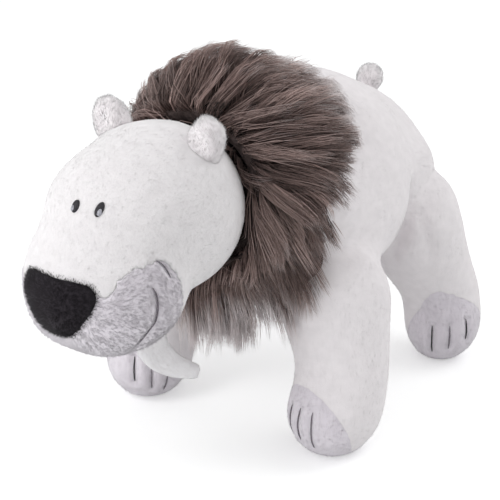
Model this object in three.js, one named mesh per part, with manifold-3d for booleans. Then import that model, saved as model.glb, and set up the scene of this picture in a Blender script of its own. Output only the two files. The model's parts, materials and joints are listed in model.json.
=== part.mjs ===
// A plush polar bear with a long mane, standing on its four legs.
// Millimetres, +Z up, face towards -Y, the toy's own left at +X, floor at Z 0.
// Torso, head and legs are covers of plush round a filling of fibre. Each limb ends in a ball that
// sits in a cup of the torso, so that it can bend there as the sewn limb does.
import * as THREE from "three";
import { mergeVertices } from "three/addons/utils/BufferGeometryUtils.js";
import Module from "manifold-3d";

const wasm = await Module();
wasm.setup();

// Driving dimensions
const COVER = 3; // thickness of a cover, its pile and its backing cloth
const GAP = 0.35; // clearance between pieces that touch

// Torso: neck, chest, belly and rump, run together
const TORSO = {
  middle: [0, 45, 148],
  swell: [
    { centre: [0, -36, 153], radii: [50, 40, 48] },
    { centre: [0, 2, 149], radii: [72, 58, 57] },
    { centre: [0, 54, 150], radii: [72, 70, 61] },
    { centre: [0, 103, 142], radii: [59, 51, 51] },
    { centre: [0, 44, 127], radii: [73, 56, 48] },
  ],
  blend: 26,
};
const NECK_HOLE = 17; // radius of the opening where head and torso are sewn together

// Head: skull, face and muzzle, run together. It nods about the middle of the skull.
const HEAD = {
  middle: [0, -112, 158],
  skull: { centre: [0, -93, 167], radius: 51 },
  face: { centre: [0, -121, 170], radii: [46, 40, 42] },
  muzzle: { centre: [0, -141, 139], radii: [48.5, 42, 41] },
  blend: 16,
};
// The grey muzzle panel lies below one sloping seam and ahead of another
const MUZZLE_SEAM = { noseY: -181, noseZ: 149, rise: 0.42, mouthY: -139, mouthZ: 150, lean: 0.242 };
const NOSE = { width: 55, height: 32, middle: 137, thickness: 3, widthAbove: 1.04, widthBelow: 0.6 };
const EYE = { spacing: 17.5, width: 5.6, height: 8.4, middle: 187, thickness: 1.6 };

// Ears, tail and chin tuft
const EAR = { centre: [34, -91, 212], radii: [13.5, 8.5, 15], root: 203, fold: 15 }; // fold in degrees
const TAIL = {
  root: [0, 131.5, 180],
  rootRadius: 8,
  bulb: [0, 138, 189],
  bulbRadius: 10,
  blend: 6,
  wag: 12, // degrees to either side
};
const TUFT = {
  root: [7, -113, 97],
  route: [[5, -114, 106], [8, -111, 88], [14, -101, 75], [22, -86, 66]],
  width: 30,
  tipWidth: 9,
  thickness: 13,
  tipThickness: 6,
  swing: 10, // degrees, forwards and back
};

// Legs: a ball at the shoulder or hip, a column and a rounded paw
const STANCE = { front: [72, -12], hind: [57, 144] }; // middle of each left ankle
const FRONT_LEG = {
  ankle: STANCE.front,
  joint: [60, -4, 92],
  jointRadius: 36,
  ankleHeight: 52,
  ankleRadius: 27.5,
  paw: [29, 33, 28],
  pawHeight: 25,
  reach: 5,
  toeOut: -8,
  cap: { back: 6, slope: 1.5 },
};
const HIND_LEG = {
  ankle: STANCE.hind,
  joint: [46, 115, 103],
  jointRadius: 37,
  ankleHeight: 48,
  ankleRadius: 26,
  paw: [24.5, 28, 26],
  pawHeight: 23,
  reach: 5,
  toeOut: 30,
  cap: { back: 34, slope: 0.73 },
};
const LEG_BLEND = 20;
const LEG_SWING = 8; // degrees, forwards and back
const SOLE_CUT = 0.5; // depth cut off the flattened paw to make its sole

// Mane: a collar of long fur round the neck and over the shoulders
const MANE = {
  middle: [0, -24, 160],
  ruff: { centre: [0, -36, 161], radii: [80, 40, 82] },
  cape: { centre: [0, 0, 175], radii: [83, 47, 57] },
  fringe: { centre: [0, -42, 110], radii: [58, 20, 42] },
  blend: 24,
  headClearance: 3,
};

const FAR = 400; // longer than the toy, for cutting solids

// Fields: how far a point is from a form, negative inside it
const ellipsoid = ({ centre: [cx, cy, cz], radii: [rx, ry, rz] }) => (x, y, z) => {
  const u = [(x - cx) / rx, (y - cy) / ry, (z - cz) / rz];
  const near = Math.hypot(...u);
  const steep = Math.hypot(u[0] / rx, u[1] / ry, u[2] / rz);
  return steep < 1e-9 ? -Math.min(rx, ry, rz) : (near * (near - 1)) / steep;
};
const ball = ([cx, cy, cz], radius) => (x, y, z) => Math.hypot(x - cx, y - cy, z - cz) - radius;
const column = (a, radiusA, b, radiusB) => {
  const along = b.map((v, i) => v - a[i]);
  const length2 = along.reduce((sum, v) => sum + v * v, 0);
  return (x, y, z) => {
    const t = ((x - a[0]) * along[0] + (y - a[1]) * along[1] + (z - a[2]) * along[2]) / length2;
    const s = Math.min(1, Math.max(0, t));
    const gone = Math.hypot(x - a[0] - s * along[0], y - a[1] - s * along[1], z - a[2] - s * along[2]);
    return gone - (radiusA + (radiusB - radiusA) * s);
  };
};
const blended = (width, ...fields) => (x, y, z) => {
  let d = fields[0](x, y, z);
  for (const field of fields.slice(1)) {
    const e = field(x, y, z);
    const h = Math.max(0, width - Math.abs(d - e)) / width;
    d = Math.min(d, e) - (h * h * h * width) / 6;
  }
  return d;
};
// A field turned about an upright line
const turned = (field, [cx, cy], degrees) => {
  const c = Math.cos(THREE.MathUtils.degToRad(degrees));
  const s = Math.sin(THREE.MathUtils.degToRad(degrees));
  return (x, y, z) => field(cx + c * (x - cx) + s * (y - cy), cy - s * (x - cx) + c * (y - cy), z);
};

const torsoField = blended(TORSO.blend, ...TORSO.swell.map(ellipsoid));
const headField = blended(
  HEAD.blend,
  ball(HEAD.skull.centre, HEAD.skull.radius),
  ellipsoid(HEAD.face),
  ellipsoid(HEAD.muzzle),
);
const maneField = blended(MANE.blend, ellipsoid(MANE.ruff), ellipsoid(MANE.cape), ellipsoid(MANE.fringe));
function legField(leg, side) {
  const [x, y] = leg.ankle;
  const ankle = [side * x, y, leg.ankleHeight];
  const paw = { centre: [side * x, y - leg.reach, leg.pawHeight], radii: leg.paw };
  const round = blended(
    LEG_BLEND,
    column(mirrored(leg.joint, side), leg.jointRadius, ankle, leg.ankleRadius),
    turned(ellipsoid(paw), [side * x, y], side * leg.toeOut),
  );
  return (px, py, pz) => Math.max(round(px, py, pz), -SOLE_CUT - pz);
}
function mirrored([x, y, z], side) {
  return [side * x, y, z];
}

// Solids
function solid(geometry) {
  const g = geometry.clone();
  g.deleteAttribute("normal");
  g.deleteAttribute("uv");
  const merged = mergeVertices(g, 1e-3);
  return new wasm.Manifold(
    new wasm.Mesh({
      numProp: 3,
      vertProperties: merged.attributes.position.array,
      triVerts: new Uint32Array(merged.index.array),
    }),
  );
}

// The surface at this distance from a form, met by rays from its middle, with its poles on an axis
function shape(field, middle, axis, rings, sides, grow = 0) {
  const g = new THREE.SphereGeometry(1, sides, rings);
  const up = new THREE.Vector3(0, 1, 0);
  g.applyQuaternion(new THREE.Quaternion().setFromUnitVectors(up, new THREE.Vector3(...axis).normalize()));
  const rays = g.attributes.position;
  const ray = new THREE.Vector3();
  for (let i = 0; i < rays.count; i++) {
    ray.fromBufferAttribute(rays, i);
    const at = (t) => middle.map((m, k) => m + t * ray.getComponent(k));
    let out = 0;
    while (field(...at(out)) < grow) out += 2;
    let inside = out - 2;
    for (let step = 0; step < 18; step++) {
      const t = (inside + out) / 2;
      if (field(...at(t)) < grow) inside = t;
      else out = t;
    }
    rays.setXYZ(i, ...at(inside));
  }
  return solid(g);
}
// A ball whose flat faces lie no nearer to its centre than the radius
function roomyBall(centre, radius, rings, sides) {
  const corner = radius / (Math.cos(Math.PI / sides) * Math.cos(Math.PI / (2 * rings)));
  return solid(new THREE.SphereGeometry(corner, sides, rings).rotateX(Math.PI / 2).translate(...centre));
}
// A prism along X over an outline of [y, z] points
function prismX(outline) {
  const path = new THREE.Shape(outline.map(([y, z]) => new THREE.Vector2(y, z)));
  const g = new THREE.ExtrudeGeometry(path, { depth: 2 * FAR, bevelEnabled: false });
  g.translate(0, 0, -FAR);
  g.applyMatrix4(new THREE.Matrix4().set(0, 0, 1, 0, 1, 0, 0, 0, 0, 1, 0, 0, 0, 0, 0, 1));
  return solid(g);
}
// A rod along Y from one place to another, with this outline of [x, z] points
function prismY(outline, from, to) {
  const path = new THREE.Shape(outline.map(([x, z]) => new THREE.Vector2(x, z)));
  const g = new THREE.ExtrudeGeometry(path, { depth: to - from, bevelEnabled: false });
  g.applyMatrix4(new THREE.Matrix4().set(1, 0, 0, 0, 0, 0, -1, 0, 0, 1, 0, 0, 0, 0, 0, 1));
  g.translate(0, to, 0);
  return solid(g);
}
function oval(width, height, x, z, count) {
  return Array.from({ length: count }, (_, i) => {
    const a = (2 * Math.PI * i) / count;
    return [x + (width / 2) * Math.cos(a), z + (height / 2) * Math.sin(a)];
  });
}
// Everything that a solid meets as it turns about a line through a point
function swept(piece, point, axis, degrees) {
  const back = new THREE.Matrix4().makeTranslation(...point);
  const away = new THREE.Matrix4().makeTranslation(...point.map((v) => -v));
  return degrees
    .map((d) => {
      const turn = new THREE.Matrix4().makeRotationAxis(axis, THREE.MathUtils.degToRad(d));
      return piece.transform(back.clone().multiply(turn).multiply(away).elements);
    })
    .reduce((all, one) => all.add(one));
}
const X_AXIS = new THREE.Vector3(1, 0, 0);

// The scene
const group = new THREE.Group();
function add(name, piece, color, roughness) {
  const m = piece.getMesh();
  const indexed = new THREE.BufferGeometry();
  indexed.setAttribute("position", new THREE.BufferAttribute(new Float32Array(m.vertProperties), 3));
  indexed.setIndex(new THREE.BufferAttribute(new Uint32Array(m.triVerts), 1));
  const geometry = indexed.toNonIndexed();
  geometry.computeVertexNormals();
  const mesh = new THREE.Mesh(geometry, new THREE.MeshStandardMaterial({ color, roughness, metalness: 0 }));
  mesh.name = name;
  group.add(mesh);
}
const WHITE = "#eeecee";
const GREY = "#b2acb8";
const BLACK = "#26242a";
const THREAD = "#3a383e";
const TAUPE = "#62504f";
const FIBRE = "#f6f6f2";
const PLUSH_ROUGHNESS = 0.95;
const FIBRE_ROUGHNESS = 1;
const THREAD_ROUGHNESS = 0.6;

// Torso, hollowed for the leg balls, the head and the root of the tail
const ALONG = [0, 1, 0];
const torsoShape = (grow, rings = 16, sides = 24) =>
  shape(torsoField, TORSO.middle, ALONG, rings, sides, grow);
const LEGS = {
  front_left: { ...FRONT_LEG, side: 1 },
  front_right: { ...FRONT_LEG, side: -1 },
  hind_left: { ...HIND_LEG, side: 1 },
  hind_right: { ...HIND_LEG, side: -1 },
};
// The room for a leg: a ball above its joint, and a bell below it, as wide as the leg swings
function legRoom(leg, grow) {
  const arcs = 5;
  const sides = 16;
  const flatness = Math.cos(Math.PI / sides) * Math.cos(Math.PI / (4 * arcs));
  const radius = (leg.jointRadius + grow) / flatness;
  const below = leg.ankleHeight;
  const swing = below * Math.tan(THREE.MathUtils.degToRad(LEG_SWING));
  const profile = [new THREE.Vector2(0, -below), new THREE.Vector2(radius + swing, -below)];
  for (let i = 0; i < arcs; i++) {
    const a = (Math.PI / 2) * (i / arcs);
    profile.push(new THREE.Vector2(radius * Math.cos(a), radius * Math.sin(a)));
  }
  profile.push(new THREE.Vector2(0, radius));
  const bell = new THREE.LatheGeometry(profile, sides).rotateX(Math.PI / 2);
  return solid(bell.translate(...mirrored(leg.joint, leg.side)));
}
const cups = (grow) => {
  let all = roomyBall(HEAD.skull.centre, HEAD.skull.radius + grow, 14, 24);
  for (const leg of Object.values(LEGS)) all = all.add(legRoom(leg, grow));
  return all.add(roomyBall(TAIL.root, TAIL.rootRadius + grow, 8, 12));
};
const neckHole = (radius) => {
  const [, y, z] = HEAD.skull.centre;
  const back = y + HEAD.skull.radius;
  return prismY(oval(2 * radius, 2 * radius, 0, z, 16), back - 2 * COVER, back + 2 * COVER);
};
const torsoHollow = (grow) => torsoShape(-COVER - grow, 12, 14).subtract(cups(GAP + COVER + grow));
add(
  "torso_cover",
  torsoShape(0).subtract(cups(GAP)).subtract(torsoHollow(0)).subtract(neckHole(NECK_HOLE)),
  WHITE,
  PLUSH_ROUGHNESS,
);
add("torso_stuffing", torsoHollow(GAP), FIBRE, FIBRE_ROUGHNESS);

// Legs, each a cover, a grey paw and its filling
for (const [name, leg] of Object.entries(LEGS)) {
  const field = legField(leg, leg.side);
  const [x, y] = leg.ankle;
  const middle = [leg.side * x, y - leg.reach, leg.ankleHeight];
  const legShape = (grow, rings, sides) => shape(field, middle, [0, 0, 1], rings, sides, grow);
  const floor = solid(new THREE.BoxGeometry(FAR, FAR, FAR).translate(0, 0, -FAR / 2));
  const cover = legShape(0, 14, 18).subtract(legShape(-COVER, 10, 12)).subtract(floor);
  const capSeam = (grow) => {
    const heel = leg.cap.back + grow * Math.hypot(1, 1 / leg.cap.slope);
    const wedge = prismX([
      [heel, 0],
      [heel - FAR / leg.cap.slope, FAR],
      [-FAR / leg.cap.slope - FAR, FAR],
      [-FAR / leg.cap.slope - FAR, -FAR],
      [heel + FAR / leg.cap.slope, -FAR],
    ]);
    const turn = new THREE.Matrix4().makeRotationZ(THREE.MathUtils.degToRad(leg.side * leg.toeOut));
    return wedge.transform(turn.setPosition(leg.side * x, y - leg.reach, 0).elements);
  };
  add(`${name}_leg_cover`, cover.subtract(capSeam(GAP)), WHITE, PLUSH_ROUGHNESS);
  add(`${name}_paw`, cover.intersect(capSeam(0)), GREY, PLUSH_ROUGHNESS);
  add(`${name}_leg_stuffing`, legShape(-COVER - GAP, 10, 12), FIBRE, FIBRE_ROUGHNESS);
}

// Head
const FACING = [0, -1, -0.5];
const headShape = (grow, rings = 18, sides = 24) => shape(headField, HEAD.middle, FACING, rings, sides, grow);
const muzzleWedge = (grow) => {
  const s = MUZZLE_SEAM;
  const top = (y) => s.noseZ + s.rise * (y - s.noseY) + grow * Math.hypot(1, s.rise);
  const rear = (z) => s.mouthY + s.lean * (s.mouthZ - z) + grow * Math.hypot(1, s.lean);
  const cornerZ = top(rear(0)) / (1 + s.rise * s.lean);
  const front = s.noseY - FAR / 4;
  return prismX([
    [rear(cornerZ), cornerZ],
    [front, top(front)],
    [front, 0],
    [rear(0), 0],
  ]);
};
const headHollow = (grow) => headShape(-COVER - grow, 12, 16);
const headCover = headShape(0).subtract(headHollow(0)).subtract(neckHole(NECK_HOLE));
add("head_cover", headCover.subtract(muzzleWedge(GAP)), WHITE, PLUSH_ROUGHNESS);
add("muzzle_panel", headCover.intersect(muzzleWedge(0)), GREY, PLUSH_ROUGHNESS);
add("head_stuffing", headHollow(GAP), FIBRE, FIBRE_ROUGHNESS);

// Pads sewn onto the face: an outline pushed onto the head from the front
const onFace = (outline, thickness) =>
  headShape(thickness)
    .intersect(prismY(outline, -FAR, HEAD.middle[1]))
    .subtract(headShape(GAP));
const noseOutline = Array.from({ length: 18 }, (_, i) => {
  const a = (2 * Math.PI * i) / 18;
  const narrowing = THREE.MathUtils.lerp(NOSE.widthBelow, NOSE.widthAbove, (1 + Math.sin(a)) / 2);
  return [(NOSE.width / 2) * narrowing * Math.cos(a), NOSE.middle + (NOSE.height / 2) * Math.sin(a)];
});
add("nose", onFace(noseOutline, NOSE.thickness), BLACK, PLUSH_ROUGHNESS);
for (const [name, side] of [["eye_left", 1], ["eye_right", -1]]) {
  const outline = oval(EYE.width, EYE.height, (side * EYE.spacing) / 2, EYE.middle, 12);
  add(name, onFace(outline, EYE.thickness), THREAD, THREAD_ROUGHNESS);
}

// Ears, cut so that they fold without meeting the head
const FOLD = [-EAR.fold, 0, EAR.fold];
for (const [name, side] of [["ear_left", 1], ["ear_right", -1]]) {
  const centre = mirrored(EAR.centre, side);
  const ear = shape(ellipsoid({ centre, radii: EAR.radii }), centre, ALONG, 8, 14);
  const hinge = [centre[0], centre[1], EAR.root];
  add(name, ear.subtract(swept(headShape(GAP), hinge, X_AXIS, FOLD)), WHITE, PLUSH_ROUGHNESS);
}

// Chin tuft: a pointed flap that hangs back from the chin
function tuftSolid() {
  const curve = new THREE.CatmullRomCurve3(TUFT.route.map((p) => new THREE.Vector3(...p)));
  const steps = 10;
  const sides = 10;
  const points = [];
  for (let i = 0; i <= steps; i++) {
    const t = i / steps;
    const p = curve.getPointAt(t);
    const ahead = curve.getTangentAt(t);
    const across = new THREE.Vector3().crossVectors(X_AXIS, ahead).normalize();
    const flat = new THREE.Vector3().crossVectors(ahead, across);
    const width = THREE.MathUtils.lerp(TUFT.width, TUFT.tipWidth, t);
    const thick = THREE.MathUtils.lerp(TUFT.thickness, TUFT.tipThickness, t);
    for (let k = 0; k < sides; k++) {
      const a = (2 * Math.PI * k) / sides;
      const q = p.clone();
      q.addScaledVector(across, (width / 2) * Math.cos(a)).addScaledVector(flat, (thick / 2) * Math.sin(a));
      points.push(...q.toArray());
    }
  }
  const faces = [];
  for (let i = 0; i < steps; i++) {
    for (let k = 0; k < sides; k++) {
      const a = i * sides + k;
      const b = i * sides + ((k + 1) % sides);
      faces.push(a, b, b + sides, a, b + sides, a + sides);
    }
  }
  for (let k = 1; k < sides - 1; k++) {
    const last = steps * sides;
    faces.push(0, k + 1, k, last, last + k, last + k + 1);
  }
  const g = new THREE.BufferGeometry();
  g.setAttribute("position", new THREE.Float32BufferAttribute(points, 3));
  g.setIndex(faces);
  return solid(g);
}
const SWING = [-TUFT.swing, 0, TUFT.swing];
add(
  "chin_tuft",
  tuftSolid().subtract(swept(headShape(GAP), TUFT.root, X_AXIS, SWING)),
  WHITE,
  PLUSH_ROUGHNESS,
);

// Tail, its root a ball in the rump and the rest clear of the rump as it wags
const tailField = blended(TAIL.blend, ball(TAIL.root, TAIL.rootRadius), ball(TAIL.bulb, TAIL.bulbRadius));
const tailAxis = new THREE.Vector3(...TAIL.bulb).sub(new THREE.Vector3(...TAIL.root)).normalize();
const tailRoot = solid(new THREE.SphereGeometry(TAIL.rootRadius, 12, 8).translate(...TAIL.root));
const wagAxis = new THREE.Vector3().crossVectors(X_AXIS, tailAxis);
const rump = swept(torsoShape(GAP), TAIL.root, wagAxis, [-TAIL.wag, 0, TAIL.wag]).subtract(tailRoot);
add("tail", shape(tailField, TAIL.bulb, [0, 0, 1], 8, 12).subtract(rump), WHITE, PLUSH_ROUGHNESS);

// Mane, laid round torso, head and shoulders
let mane = shape(maneField, MANE.middle, ALONG, 14, 22).subtract(torsoShape(GAP));
mane = mane.subtract(roomyBall(HEAD.skull.centre, HEAD.skull.radius + MANE.headClearance, 14, 24));
for (const leg of [LEGS.front_left, LEGS.front_right]) mane = mane.subtract(legRoom(leg, GAP));
add("mane", mane, TAUPE, FIBRE_ROUGHNESS);

// The origin is under the middle of the whole toy
const bounds = new THREE.Box3().setFromObject(group);
group.position.y = -(bounds.min.y + bounds.max.y) / 2;

export default group;
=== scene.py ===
import json
import math

import bmesh
import bpy
import numpy as np
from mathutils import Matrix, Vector
from mathutils.bvhtree import BVHTree
from mathutils.kdtree import KDTree


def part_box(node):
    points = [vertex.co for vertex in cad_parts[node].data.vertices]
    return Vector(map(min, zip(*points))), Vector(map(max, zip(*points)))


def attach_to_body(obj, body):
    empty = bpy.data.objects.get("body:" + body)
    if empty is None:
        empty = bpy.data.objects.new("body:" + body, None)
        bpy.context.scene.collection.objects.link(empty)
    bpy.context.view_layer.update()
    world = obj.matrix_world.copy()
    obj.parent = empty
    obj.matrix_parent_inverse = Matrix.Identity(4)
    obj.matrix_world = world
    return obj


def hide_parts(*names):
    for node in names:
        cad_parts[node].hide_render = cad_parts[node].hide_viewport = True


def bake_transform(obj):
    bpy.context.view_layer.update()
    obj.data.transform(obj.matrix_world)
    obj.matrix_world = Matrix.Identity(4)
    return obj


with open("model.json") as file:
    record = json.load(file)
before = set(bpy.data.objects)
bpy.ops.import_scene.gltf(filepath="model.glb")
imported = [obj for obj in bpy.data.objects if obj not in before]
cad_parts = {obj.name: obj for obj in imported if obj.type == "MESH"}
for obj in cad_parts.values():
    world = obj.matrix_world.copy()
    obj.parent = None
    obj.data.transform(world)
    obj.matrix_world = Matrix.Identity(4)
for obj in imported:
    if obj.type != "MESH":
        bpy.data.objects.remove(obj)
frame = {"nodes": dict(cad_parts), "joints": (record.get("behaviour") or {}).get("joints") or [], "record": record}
NODES = frame["nodes"]
JOINTS = {joint["name"]: joint for joint in frame["joints"]}
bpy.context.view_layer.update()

# Places taken from the frame
SKULL = np.array(JOINTS["head_nod"]["pos_m"])
LEGS = ("front_left", "front_right", "hind_left", "hind_right")
SOLES = {
    mount["name"].removesuffix("_sole"): np.array(mount["pos_m"]) for mount in frame["record"]["mounts"]
}
MANE_LOW, MANE_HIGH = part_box("mane")
NECK_HEIGHT = (MANE_LOW.z + MANE_HIGH.z) / 2

# Camera, fitted to the photograph
CAMERA_AZIMUTH = 34.4
CAMERA_ELEVATION = 22.0
CAMERA_DISTANCE = 1.33
CAMERA_TARGET = (-0.155, 0.230, 0.0)
CAMERA_LENS = 119.5  # millimetres on a sensor 36 mm wide

# Lamps: where each is and points to, its width and its power in watts
LAMPS = {
    "key": ((-0.55, -1.2, 1.25), (0, 0, 0.12), 0.8, 7.6),
    "low": ((-0.35, -1.3, 0.20), (0, 0, 0.05), 0.9, 5),
    "fill": ((0.8, 0.9, 1.4), (0, 0, 0.12), 1.2, 7.5),
}
# Light of the surroundings, and what the camera sees added to it and to the floor
AIR_LIGHT = 0.66
AIR_ADDED = 0.40
FLOOR_ADDED = 0.39
FLOOR_COLOUR = (0.82, 0.83, 0.83)
FLOOR_SIZE = 3.0  # from the middle to each edge

# Skins
BODY_VOXEL = 0.0028
HEAD_VOXEL = 0.0024
SMALL_VOXEL = 0.0013
CLOTH = 0.0012  # backing cloth under the pile
PILE_DEPTH = 0.0010  # how far the cloth lies inside the outer form of the pile
FLOOR_GAP = 0.0006  # no skin comes nearer to the floor
SOLE_FLAT = 0.001  # up to this height a skin stays where the frame has it,
SOLE_RISE = 0.008  # and over this much more height it is drawn in
LEG_BEND = (0.100, 0.060)  # heights between which a leg bends away from the torso

# The head sits a little forward and to the toy's right, as in the photograph
HEAD_SHIFT = (-0.0015, -0.0022, 0.0)

# Places on one side where the stuffing fills a skin out, or leaves it flatter, each with its
# reach and its height. The other side follows.
BODY_SWELLS = [
    ((0.045, 0.114, 0.178), 0.026, -0.0026),
    ((0.062, 0.122, 0.146), 0.017, 0.0075),
    ((0.080, 0.131, 0.075), 0.024, -0.0022),
    ((0.084, 0.146, 0.028), 0.024, 0.0052),
    ((0.086, 0.018, 0.055), 0.026, 0.0038),
    ((0.058, -0.028, 0.074), 0.024, -0.0030),
    ((0.080, 0.018, 0.116), 0.032, 0.0042),
    ((0.072, 0.046, 0.106), 0.026, 0.0020),
    ((0.062, 0.152, 0.150), 0.020, 0.0035),
    ((0.0, 0.062, 0.212), 0.036, 0.0042),
]
HEAD_SWELLS = [
    (tuple(JOINTS["ear_left_fold"]["pos_m"]), 0.012, 0.0035),
    ((0.0, -0.128, 0.178), 0.050, 0.0020),
    ((0.0, -0.152, 0.140), 0.040, 0.0022),
    ((0.020, -0.160, 0.118), 0.016, 0.0028),
    ((0.012, -0.150, 0.176), 0.020, 0.0018),
    ((-0.040, -0.135, 0.182), 0.022, 0.0016),
]
# The hollow between the belly and the front leg is rounded over: its middle and its reach
SHOULDER_HOLLOW = np.array((0.074, 0.038, 0.112))
HOLLOW_REACH = 0.024
HOLLOW_ROUNDS = 160  # of smoothing

# Creases on the left side, each a list of points. The right side follows.
FLANK = [
    (0.0680, 0.0900, 0.1400), (0.0655, 0.0915, 0.1300), (0.0610, 0.0935, 0.1200),
    (0.0595, 0.0930, 0.1110), (0.0565, 0.0915, 0.1020), (0.0535, 0.0900, 0.0930),
    (0.0490, 0.0920, 0.0830),
]
THIGH = [
    (0.0670, 0.1010, 0.1180), (0.0722, 0.1024, 0.1014), (0.0746, 0.1044, 0.0908),
    (0.0752, 0.1115, 0.0722),
]
MOUTH = [
    (0.0420, -0.1478, 0.1487), (0.0440, -0.1466, 0.1448), (0.0448, -0.1460, 0.1380),
    (0.0436, -0.1462, 0.1280), (0.0400, -0.1482, 0.1225), (0.0340, -0.1486, 0.1150),
    (0.0272, -0.1462, 0.1082),
]
SMILE = [
    (0.0378, -0.1446, 0.1628), (0.0396, -0.1420, 0.1624), (0.0414, -0.1396, 0.1602),
    (0.0434, -0.1374, 0.1566), (0.0452, -0.1356, 0.1518),
]
# Each crease with its depth and its width
BODY_CREASES = [(FLANK, 0.0060, 0.0050), (THIGH, 0.0015, 0.0036)]
HEAD_CREASES = [(MOUTH, 0.0035, 0.0030), (SMILE, 0.0022, 0.0022)]

# Toe stitches: the heading of the middle one in degrees from straight ahead, the step between
# them, the heights where each begins and ends, and how dark each is
TOES = {
    "front_left": (-18, 21, [(0.034, 0.014, 0.3), (0.036, 0.014, 0.3), (0.036, 0.010, 0.5)]),
    "front_right": (43, 24, [(0.036, 0.018, 1.0), (0.030, 0.012, 0.5), (0.024, 0.008, 0.4)]),
    "hind_left": (42, 26, [(0.031, 0.009, 1.0), (0.032, 0.014, 0.4), (0.035, 0.020, 1.0)]),
    "hind_right": (-42, -26, [(0.031, 0.009, 1.0), (0.032, 0.014, 0.4), (0.035, 0.020, 1.0)]),
}
# Grey caps of the paws: the heading that their edge rises towards, its height over the middle of
# the sole, and its slope
CAPS = {"front": (-18, 0.0040, 2.1), "hind": (42, 0.0115, 1.75)}
CAP_SOLE = 0.006  # below this height a paw is grey all round

# Where the mane ends: how far back it reaches at each height, and how low its fringe hangs
MANE_REACH = [
    (0.083, -0.018), (0.098, -0.018), (0.112, -0.014), (0.126, -0.005), (0.145, 0.013),
    (0.160, 0.018), (0.172, 0.026), (0.186, 0.037), (0.200, 0.054), (0.214, 0.072),
]
# How unevenly locks end at each height
MANE_SPREAD = [(0.080, 0.008), (0.100, 0.018), (0.125, 0.046), (0.160, 0.046), (0.185, 0.030)]
FRINGE_LOW = 0.056
FRINGE_RISE = 0.018  # the fringe ends this much higher at the sides,
FRINGE_SIDE = 0.08  # this far from the middle
NECK_END = -0.030  # the torso ahead of this is the neck, under the mane, dark with painted shade

# Colours, linear
WHITE = (0.880, 0.842, 0.858)
GREY = (0.815, 0.765, 0.825)
BLACK = (0.028, 0.023, 0.029)
THREAD = (0.022, 0.020, 0.024)
# Grey thread: the faint toe stitches' own colour, and painted shadow in the mouth and smile creases
STITCH_AND_SHADOW_GREY = (0.200, 0.180, 0.205)
GLINT = (0.360, 0.360, 0.400)
NAP_TONES = ((0.86, 0.845, 0.86), (0.92, 0.905, 0.92))
# The undercoat, inside the mane and on the neck under it, is darker than the hair: painted shade
UNDERCOAT_SHADE_TONES = ((0.030, 0.020, 0.018), (0.075, 0.055, 0.052))
# The mane's darkest and palest locks: how far along a hair each colour is, from root to tip. The dark near the
# root is painted shade.
DARK_LOCK_AND_ROOT_SHADE = [
    (0.0, (0.008, 0.003, 0.002)),
    (0.28, (0.022, 0.009, 0.006)),
    (0.56, (0.084, 0.044, 0.036)),
    (0.78, (0.78, 0.70, 0.70)),
]
PALE_LOCK_AND_ROOT_SHADE = [
    (0.0, (0.050, 0.024, 0.018)),
    (0.24, (0.440, 0.300, 0.268)),
    (0.60, (0.660, 0.500, 0.465)),
    (0.78, (0.94, 0.89, 0.89)),
]

# Pile: hairs to a square millimetre, their length and their width
HAIR = {
    "leg": (0.30, 0.0020, 0.00014),
    "paw": (0.85, 0.0020, 0.00020),
    "torso": (0.30, 0.0020, 0.00014),
    "head": (0.45, 0.0020, 0.00015),
    "muzzle": (1.0, 0.0028, 0.00024),
    "nose": (2.2, 0.0026, 0.00024),
    "ear": (1.4, 0.0027, 0.00013),
    "tail": (1.4, 0.0027, 0.00013),
    "tuft": (1.4, 0.0012, 0.00018),
}
# Waves in the way that pile is combed: their strength, their length and a seed
RUFFLES = ((0.35, 0.045, 3), (0.12, 0.012, 5))


# Arrays and meshes
def linked(name, mesh):
    obj = bpy.data.objects.new(name, mesh)
    bpy.context.scene.collection.objects.link(obj)
    return obj


def points_of(mesh):
    co = np.zeros(len(mesh.vertices) * 3, np.float32)
    mesh.vertices.foreach_get("co", co)
    return co.reshape(-1, 3).astype(float)


def normals_of(mesh):
    found = np.zeros(len(mesh.vertices) * 3, np.float32)
    mesh.vertex_normals.foreach_get("vector", found)
    return found.reshape(-1, 3).astype(float)


def move_points(mesh, co):
    mesh.vertices.foreach_set("co", np.asarray(co, np.float32).ravel())
    mesh.update()


def unit(vectors):
    return vectors / np.maximum(np.linalg.norm(vectors, axis=-1, keepdims=True), 1e-12)


def rise(values, start, length):
    """Nothing before a start, rising smoothly to one over a length, which may point backwards."""
    t = np.clip((values - start) / length, 0, 1)
    return t * t * (3 - 2 * t)


def mesh_from(name, co, triangles):
    mesh = bpy.data.meshes.new(name)
    triangles = np.asarray(triangles, np.int32)
    mesh.vertices.add(len(co))
    mesh.vertices.foreach_set("co", np.asarray(co, np.float32).ravel())
    mesh.loops.add(triangles.size)
    mesh.loops.foreach_set("vertex_index", triangles.ravel())
    mesh.polygons.add(len(triangles))
    mesh.polygons.foreach_set("loop_start", np.arange(len(triangles), dtype=np.int32) * 3)
    mesh.update(calc_edges=True)
    mesh.polygons.foreach_set("use_smooth", np.ones(len(triangles), bool))
    return mesh


def apply_modifiers(obj):
    evaluated = obj.evaluated_get(bpy.context.evaluated_depsgraph_get())
    mesh = bpy.data.meshes.new_from_object(evaluated)
    obj.modifiers.clear()
    old = obj.data
    obj.data = mesh
    bpy.data.meshes.remove(old)


def remeshed(name, nodes, voxel, rounds):
    """Nodes of the frame as one closed skin, its facets taken off in so many rounds."""
    bm = bmesh.new()
    for node in nodes:
        bm.from_mesh(NODES[node].data)
    mesh = bpy.data.meshes.new(name)
    bm.to_mesh(mesh)
    bm.free()
    obj = linked(name, mesh)
    modifier = obj.modifiers.new("voxels", "REMESH")
    modifier.mode = "VOXEL"
    modifier.voxel_size = voxel
    apply_modifiers(obj)
    obj.data.polygons.foreach_set("use_smooth", np.ones(len(obj.data.polygons), bool))
    round_off(obj, rounds)
    return obj


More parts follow.
